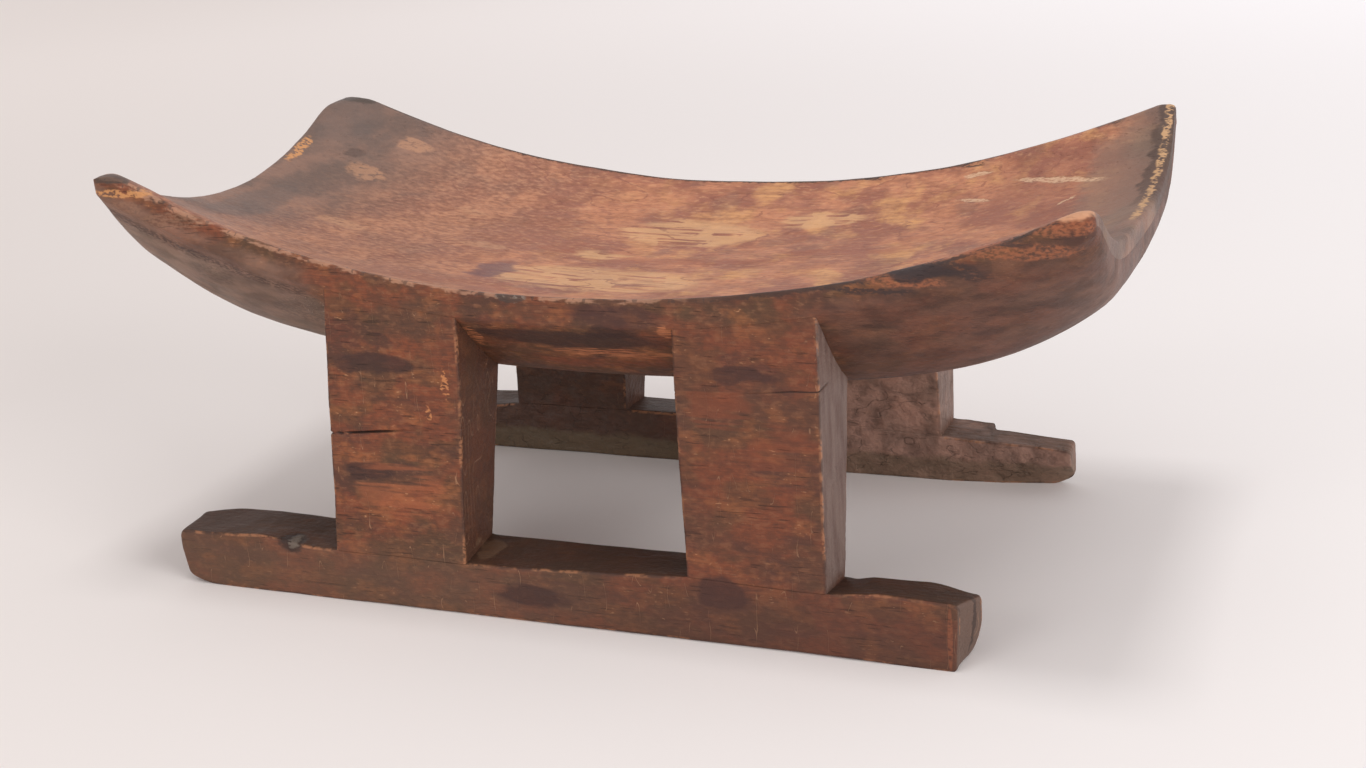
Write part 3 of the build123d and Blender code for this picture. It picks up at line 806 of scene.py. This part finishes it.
def front_long_end(y, z):
    """X of the long toe's blunt nose, drawn back by squares of the height near the sole and
    near the top, and towards its inner side."""
    in_way = (FOOT_HALF + y) / RUNNER_THICK
    low = 11 * np.clip((4 - z) / 4, 0, 1) ** 2 + 2.5 * np.clip((14 - z) / 14, 0, 1)
    return -170.6 + low + 1.6 * np.clip((z - 18) / 5, 0, 1) ** 2 + 4 * ramp(in_way, 0.6, 1.1)


def front_short_end(y, z):
    """X of the short toe's end: cut square at the front, undercut towards the inside."""
    in_way = (FOOT_HALF + y) / RUNNER_THICK
    return 144.4 + 5.6 * ramp(in_way, 0.0, 0.75) - 7 * in_way * np.clip((15 - z) / 15, 0, 1) ** 1.6


def rear_long_end(y, z):
    """X of the rear long toe's end, drawn back by squares near the sole and near the top."""
    return -160.6 + 7 * np.clip((6 - z) / 6, 0, 1) ** 2 + 3 * np.clip((z - 15) / 6, 0, 1) ** 2


def rear_short_end(y, z):
    """X of the rear short toe's end, drawn back by a square near the sole."""
    return 150.6 - 7 * np.clip((6 - z) / 6, 0, 1) ** 2


def frame_material():
    """Body wood: dark tops, painted shade on sides facing into the window, greyer on the short-toe
    side.
    """
    wood, tree, (place, wavy, torn) = start("frame_wood")
    body_out = node(tree, "Group", {"Place": place}, node_tree=body).outputs
    fibres = node(tree, "Group", {"Place": place}, node_tree=grain).outputs
    x, y, z = node(tree, "SeparateXYZ", {0: place}).outputs
    normal = node(tree, "SeparateXYZ", {0: node(tree, "TexCoord").outputs["Normal"]}).outputs
    speck = lumps(tree, place, (2.2, 1.1, 1.1), 13, 3)

    # dull brown runners, dark tops of toes and sill, and the sawn sides of posts and toes with
    # painted shade
    dull_brown = blend(tree, step(tree, x, -60, 50), (98, 72, 57), (77, 51, 41))
    upward = step(tree, normal["Z"], 0.55, 0.85)
    sideways = step(tree, calc(tree, "ABSOLUTE", normal["X"]), 0.6, 0.85)
    facing_front = step(tree, normal["Y"], -0.6, -0.9)
    carved = scratches(tree, place, (0.05, 0.22, 0.07), 0.012, 0.46)
    nicks = scratches(tree, place, (0.40, 0.1, 0.07), 0.014, 0.40)
    nicks = times(tree, nicks, facing_front)
    rusty = spots(tree, place, ((141.6, -94, 12), (0.9, 3, 12)))
    end_crack = spots(tree, wavy, ((148, -84, 14), (6, 0.9, 12)))
    corner = spots(tree, torn, ((-37, -82, 23), (6, 7, 3)))
    open_side = times(tree, sideways, step(tree, x, 85, 92), step(tree, z, 21, 27))
    pale_mix = step(tree, lumps(tree, place, (8, 4, 26), 24, 5), 0.38, 0.62)
    pale_side = blend(tree, pale_mix, (100, 78, 71), (118, 98, 90))
    colour = stains(
        tree, body_out["Color"],
        (dull_brown, 0.55, step(tree, z, 30, 14)),
        ((62, 42, 32), 0.8, upward),
        # painted shade on every side that faces along X, as the window reveals look in shade
        ((74, 46, 34), 0.75, sideways),
        ((104, 84, 74), 0.8, sideways, step(tree, x, 136, 140)),
        ((150, 116, 94), 0.45, carved, sideways),
        ((176, 132, 100), 0.5, nicks),
        ((150, 88, 60), 0.6, rusty, step(tree, speck, 0.36, 0.5)),
        # painted shade inside the crack at the short toe's end
        ((52, 40, 36), 0.7, end_crack),
        ((116, 88, 68), 0.6, corner),
        (pale_side, 0.9, open_side))

    # the rear frame's inner faces: painted shade on the left, painted light over dust on the right,
    # pitted and eaten away
    # painted shade on the left half and painted light on the right half, over dusty wood
    dust_and_painted_light = step(tree, lumps(tree, place, (14, 12, 12), 58, 5), 0.38, 0.62)
    dust_and_painted_light = blend(tree, dust_and_painted_light, (150, 122, 108), (196, 156, 138))
    dust_and_painted_light = blend(tree, step(tree, x, 10, 50), (66, 46, 39), dust_and_painted_light)
    within = times(tree, step(tree, y, 20, 60), step(tree, normal["Y"], 0.2, -0.3))
    cracks = times(tree, scratches(tree, wavy, (0.10, 0.1, 0.17), 0.018, 0.50), within)
    pitted = lumps(tree, place, (7, 5, 6), 63, 6)
    z_torn = node(tree, "SeparateXYZ", {0: torn}).outputs["Z"]
    colour = stains(
        tree, colour,
        (dust_and_painted_light, 0.64, within),
        # painted shade inside the cracks
        ((74, 58, 50), 0.4, cracks),
        ((84, 66, 58), 0.45, within, step(tree, pitted, 0.5, 0.36)),
        ((104, 90, 70), 0.6, within, step(tree, z_torn, 13, 9)))

    # arrises rubbed pale in places and dark in others, and a knot at the edge of the long
    # toe, a dark ring round a grey plug
    near = step(tree, node(tree, "Attribute", attribute_name="edge_mm").outputs["Fac"], 1.3, 0.4)
    worn = step(tree, lumps(tree, place, (9, 9, 9), 57, 3), 0.44, 0.58)
    knot = spots(tree, wavy, ((-118, -92, 21.5), (5.2, 6, 4.2)))
    plug = spots(tree, wavy, ((-117, -92, 21), (2.8, 6, 2.2)))
    colour = stains(
        tree, colour,
        ((176, 120, 84), 0.55, near, worn, step(tree, speck, 0.36, 0.52)),
        ((60, 42, 36), 0.5, near, calc(tree, "SUBTRACT", 1.0, worn)),
        ((46, 34, 30), 0.85, knot),
        ((108, 96, 86), 0.8, plug, step(tree, speck, 0.34, 0.50)))

    # the front posts' cracks with painted shade at their bottom, and stains on the front faces
    cracked = node(tree, "Attribute", attribute_name="crack").outputs["Fac"]
    dark = spots(tree, torn, ((-72, -91, 96), (20, 5, 4)), ((-80, -92, 54), (11, 4, 4)),
                 ((-14, -94, 11), (14, 4, 4.5)), ((72, -92, 100), (14, 4, 3)),
                 ((60, -93, 20), (8, 4, 6)))
    red = spots(tree, torn, ((-66, -92, 48), (18, 4, 12)), ((84, -92, 70), (12, 4, 14)),
                ((62, -92, 88), (12, 4, 9)))
    red_brown = blend(tree, step(tree, x, -20, 20), (168, 96, 62), (138, 72, 46))
    flecks = spots(tree, wavy, ((-43, -91, 90), (1.2, 3, 6)), ((-51, -91, 78), (1.4, 3, 3)))
    colour = stains(
        tree, colour,
        # painted shade down in the cracks
        ((40, 26, 22), 0.9, step(tree, cracked, 0.25, 0.8)),
        ((60, 39, 36), 0.76, dark),
        (red_brown, 0.45, red, step(tree, fibres["Streak"], 0.40, 0.55)),
        ((88, 50, 40), 0.24, facing_front, step(tree, x, 20, 50)),
        ((200, 132, 84), 0.8, flecks, step(tree, speck, 0.45, 0.55)))

    height = calc(tree, "SUBTRACT", body_out["Height"], times(tree, nicks, 0.15))
    height = calc(tree, "SUBTRACT", height, times(tree, cracks, 0.4))
    height = calc(tree, "ADD", height, times(tree, within, pitted, 2.2))
    height = calc(tree, "SUBTRACT", height, times(tree, knot, 0.5))
    height = calc(tree, "ADD", height, times(tree, plug, 0.4))
    return finish(wood, tree, colour, body_out["Roughness"], height)


frame_wood = frame_material()
front_rings = bar(runner_section(-1, front_top, front_thickness), (front_long_end, front_short_end),
                  np.full(up.size, RUNNER_ROUND), 380, turns=5, caps=9)
rear_rings = bar(runner_section(1, rear_top, rear_thickness), (rear_long_end, rear_short_end),
                 np.full(up.size, RUNNER_ROUND), 380, turns=5, caps=9)[:, ::-1]
tall_mm = np.minimum(up, 1 - up) * RUNNER_TOP
deep_mm = np.minimum(inward, 1 - inward) * RUNNER_THICK
edge_mm = np.maximum(tall_mm, deep_mm)
NO_EDGE = 9.0            # distance painted where a post stands on the edge
for name, rings, edge in (("front_runner", front_rings, edge_mm),
                          ("rear_runner", rear_rings, edge_mm[::-1])):
    under_post = over_posts(rings)
    rounded = mix(soften(rings, 2), rings, under_post * ramp(rings[..., 2], 10, 16))
    runner = surface("carved_" + name, hewn(rounded))
    paint(runner, "edge_mm", np.where(under_post > 0.5, NO_EDGE, edge))
    runner.data.materials.append(frame_wood)
    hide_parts(name)
    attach(runner, "root")

# ================================================================ posts
# Four flat posts of the same block, standing on the runners and running on into the seat.
# They were sawn through it from side to side, and thicken towards the head as the hull
# needs. The front ones have a drying crack each.


def post_rings(name):
    """One post over two parameters: v runs round its plan from the middle of one side, u
    runs up from the runner to the hull, which its top follows from just inside."""
    wide, deep, height = 80, 44, 120
    side = -1 if "front" in name else 1
    a = (np.arange(wide) + 0.5) / wide
    b = (np.arange(deep) + 0.5) / deep
    half = deep // 2
    # plan as shares: across from left to right, in_way from the outer face to the inner one
    across = np.concatenate((np.zeros(half), a, np.ones(deep), a[::-1], np.zeros(half)))
    in_way = np.concatenate((b[:half][::-1], np.zeros(wide), b, np.ones(wide), b[half:][::-1]))
    if side > 0:
        across, in_way = across[::-1], in_way[::-1]
    # more rows where the cracks run, none of them twice
    u = np.sort(np.concatenate((np.linspace(0, 1, height), np.linspace(0.47, 0.58, 60) + 1e-4,
                                np.linspace(0.73, 0.83, 50) + 1e-4)))[:, None]
    # sides and hull depend on z and z on them, so it starts from a guess and is repeated
    z = np.full((u.size, across.size), 60.0)
    for _ in range(6):
        low, high = post_sides(name, z)
        x = low + (high - low) * across
        y = side * (face(z) + (inner(z) - face(z)) * in_way)
        head = np.minimum(hull(x, y), rim(x) - LIP) + 1.5 * ramp(in_way, 0.0, 0.06)
        foot = front_top(x, in_way) if side < 0 else rear_top(x, in_way)
        z = foot + u * (head - foot)
    edge = np.maximum(np.minimum(across, 1 - across) * (high - low),
                      np.minimum(in_way, 1 - in_way) * RUNNER_THICK)
    return np.stack((x, y, z), -1), edge


# drying cracks in the front faces: X and Z of their ends, width and depth
CRACKS = {
    "front_left_post": ((-97.5, 67.8), (-38.0, 73.2), 0.42, 1.1),
    "front_right_post": ((64.0, 92.6), (99.5, 96.4), 0.30, 0.5),
}


def crack(name, points):
    """How open the post's crack is at each point, 0 to 1: a bell curve across a wavering
    line between its ends, fading towards the blind one."""
    if name not in CRACKS:
        return np.zeros(points.shape[:2])
    (x_a, z_a), (x_b, z_b), width, _ = CRACKS[name]
    x, y, z = np.moveaxis(points, -1, 0)
    share = np.clip((x - x_a) / (x_b - x_a), 0, 1)
    line = z_a + (z_b - z_a) * share + 0.5 * noise(points * (1, 0, 0), 9, 4)
    fade = 1 - 0.75 * ramp(share, 0.35, 0.7) if x_a < 0 else 0.3 + 0.7 * ramp(share, 0.2, 0.8)
    return fade * np.exp(-((z - line) / width) ** 2) * ramp(-y, 76, 84)


for name in POSTS:
    rings, edge = post_rings(name)
    rings = hewn(soften(rings, 2))
    opening = crack(name, rings)
    centre = np.array((0.5 * sum(POSTS[name][:2]), -70.0, 0.0)) - rings
    inwards = centre * (1, 1, 0) / np.linalg.norm(centre[..., :2], axis=-1, keepdims=True)
    if name in CRACKS:
        rings = rings + inwards * (CRACKS[name][3] * opening)[..., None]
    post = surface("carved_" + name, rings)
    paint(post, "edge_mm", edge)
    paint(post, "crack", opening)
    post.data.materials.append(frame_wood)
    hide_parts(name)
    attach(post, "root")

# ================================================================ studio
# A pale sheet of paper for a floor, soft boxes overhead, in front and to the right, and a
# white surround. None of it belongs to the stool.


def looked_at(tree):
    """1 for the camera's rays and for rays mirrored or let through on their way to it."""
    rays = node(tree, "LightPath").outputs
    return either(tree, rays["Is Camera Ray"], rays["Is Glossy Ray"], rays["Is Transmission Ray"])


floor_mesh = bpy.data.meshes.new("floor")
half = 6.0
floor_mesh.from_pydata([(-half, -half, 0), (half, -half, 0), (half, half, 0), (-half, half, 0)], [],
                       [(0, 1, 2, 3)])
floor = bpy.data.objects.new("floor", floor_mesh)
bpy.context.scene.collection.objects.link(floor)

# White paper, with painted shade making it a little darker to the left. Far from the stool it
# glows for the camera alone, as a lit backdrop would.
paper = bpy.data.materials.new("floor_paper")
paper.use_nodes = True
tree = paper.node_tree
spot = node(tree, "TexCoord").outputs["Object"]
to_right = vector(tree, "DOT_PRODUCT", spot, (0.919, 0.394, 0), output="Value")
to_right = step(tree, to_right, -0.9, 1.2)
away = vector(tree, "LENGTH", spot, output="Value")
glow = times(tree, step(tree, away, 0.3, 1.9), looked_at(tree), 0.30)
sheet = tree.nodes["Principled BSDF"].inputs
tree.links.new(blend(tree, to_right, (232, 224, 219), (255, 253, 254)), sheet["Base Color"])
tree.links.new(blend(tree, to_right, (204, 197, 195), (240, 240, 246)), sheet["Emission Color"])
tree.links.new(glow, sheet["Emission Strength"])
sheet["Roughness"].default_value = 0.8
sheet["Specular IOR Level"].default_value = 0.1
floor_mesh.materials.append(paper)

# The surround is a little brighter where it is looked at than as a light.
world = bpy.data.worlds.new("studio")
world.use_nodes = True
tree = world.node_tree
surround = tree.nodes["Background"].inputs
surround["Color"].default_value = (1.0, 0.958, 0.955, 1)
tree.links.new(calc(tree, "ADD", times(tree, looked_at(tree), 0.22), 0.64), surround["Strength"])
bpy.context.scene.world = world


def soft_box(name, place, target, size, power):
    """Square area light at place, turned to target."""
    light = bpy.data.lights.new(name, "AREA")
    light.size = size
    light.energy = power
    box = bpy.data.objects.new(name, light)
    box.location = place
    box.rotation_euler = (Vector(target) - Vector(place)).to_track_quat("-Z", "Y").to_euler()
    bpy.context.scene.collection.objects.link(box)


soft_box("overhead", (0.02, -0.02, 1.4), (0.02, 0, 0.0), 0.30, 3.9)
soft_box("front", (-1.6, -3.0, 1.6), (0, 0, 0.08), 1.6, 22)
soft_box("right", (2.6, -1.2, 1.0), (0, 0, 0.0), 1.4, 42)

bpy.context.scene.view_settings.view_transform = "Standard"

# ================================================================ camera
# A long lens in front of the stool and to its right, looking down and to the left.
CAMERA_PLACE = (0.28579, -0.64113, 0.29617)
CAMERA_YAW = math.radians(23.2)      # turned to the left of +Y
CAMERA_PITCH = math.radians(-18.5)
CAMERA_ROLL = math.radians(-4.1)
camera_data = bpy.data.cameras.new("camera")
camera_data.sensor_width = 36.0
camera_data.lens = 48.89
camera = bpy.data.objects.new("camera", camera_data)
turn = (Matrix.Rotation(CAMERA_YAW, 4, "Z") @ Matrix.Rotation(math.radians(90) + CAMERA_PITCH, 4, "X")
        @ Matrix.Rotation(CAMERA_ROLL, 4, "Z"))
camera.matrix_world = Matrix.Translation(CAMERA_PLACE) @ turn
bpy.context.scene.collection.objects.link(camera)
bpy.context.scene.camera = camera
